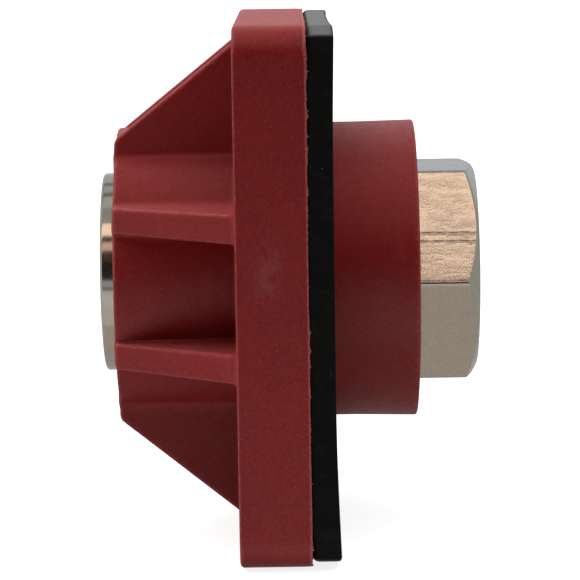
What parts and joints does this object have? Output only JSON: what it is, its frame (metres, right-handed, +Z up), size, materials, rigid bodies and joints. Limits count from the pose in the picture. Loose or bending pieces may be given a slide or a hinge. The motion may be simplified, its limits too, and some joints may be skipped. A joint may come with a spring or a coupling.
{
  "type": "flanged check seacock",
  "caption": "Square moulded flange with ribbed hub and boss, black gasket, and a nickel-plated threaded core with hexagonal end that holds a spring-loaded poppet check valve.",
  "frame": {"origin": "where the bore axis crosses the plane of the gasket's outer face, which is the hull or bulkhead plane", "axes": "+X along the bore from the round inlet end to the hexagonal outlet end, out through the hull; +Z up, square to two of the flange's sides"},
  "size_m": [0.0578, 0.0792, 0.0792],
  "materials": {
    "red_moulding": "satin, glass-filled nylon as moulded",
    "black_rubber": "matte sheet rubber",
    "nickel_plate": "nickel plated, turned and milled",
    "seal_rubber": "smooth moulded rubber",
    "turned_brass": "fine turned",
    "stainless": "turned",
    "spring_wire": "drawn wire",
    "acetal": "natural white, moulded",
    "ptfe": "smooth white"
  },
  "bodies": {
    "housing": {"flange_body": "red_moulding", "flange_gasket": "black_rubber", "flange_bolt_sleeves": "stainless", "valve_core": "nickel_plate", "core_inner_o_ring": "seal_rubber", "core_outer_o_ring": "seal_rubber", "anti_rotation_pins": "stainless", "hex_end_piece": "nickel_plate", "end_piece_o_ring": "seal_rubber", "seat_ring": "nickel_plate", "return_spring": "spring_wire", "spring_seat_washer": "stainless", "stem_guide": "acetal", "guide_bush": "ptfe"},
    "poppet": {"poppet_head": "turned_brass", "poppet_stem": "stainless", "poppet_seal": "seal_rubber", "seal_retainer_washer": "stainless", "seal_retainer_screw": "stainless", "stem_retaining_clip": "spring_wire"}
  },
  "joints": [
    {"name": "poppet_lift", "type": "slide", "parent": "housing", "child": "poppet", "axis": [1, 0, 0], "range_m": [0, 0.005], "stiffness_N_per_m": 250, "springref_m": -0.0022, "deforming": ["return_spring"]}
  ]
}
